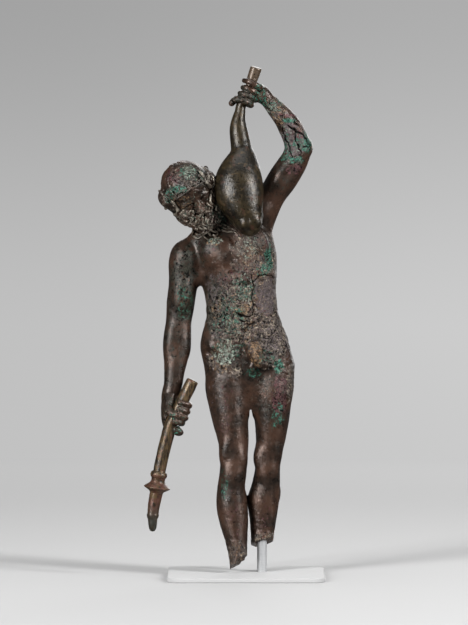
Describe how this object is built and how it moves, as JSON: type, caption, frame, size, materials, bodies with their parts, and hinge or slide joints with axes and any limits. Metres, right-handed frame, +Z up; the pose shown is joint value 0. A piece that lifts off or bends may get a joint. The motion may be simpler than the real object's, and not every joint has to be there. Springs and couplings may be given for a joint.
{
  "type": "bronze satyr statuette",
  "caption": "Small cast bronze figure of a bearded, wreathed satyr with a raised wineskin and a lowered torch, broken at the shins and held up by a thin rod on a flat plate.",
  "frame": {"origin": "on the floor, in the foot plate's underside, on the axis of the rod", "axes": "+Z up along the rod, -Y to the side that the picture shows, +X to the figure's own left"},
  "size_m": [0.101, 0.068, 0.286],
  "materials": {
    "dark_bronze": "worn glossy dark patina with green, red and ochre corrosion",
    "olive_bronze": "smooth glossy olive brown patina",
    "red_bronze": "satin red brown patina with olive shaft",
    "rod_metal": "satin pale grey",
    "foot_paint": "matt pale grey"
  },
  "bodies": {
    "root": {"satyr": "dark_bronze", "wineskin": "olive_bronze", "torch": "red_bronze", "support_rod": "rod_metal", "support_foot": "foot_paint"}
  },
  "joints": []
}
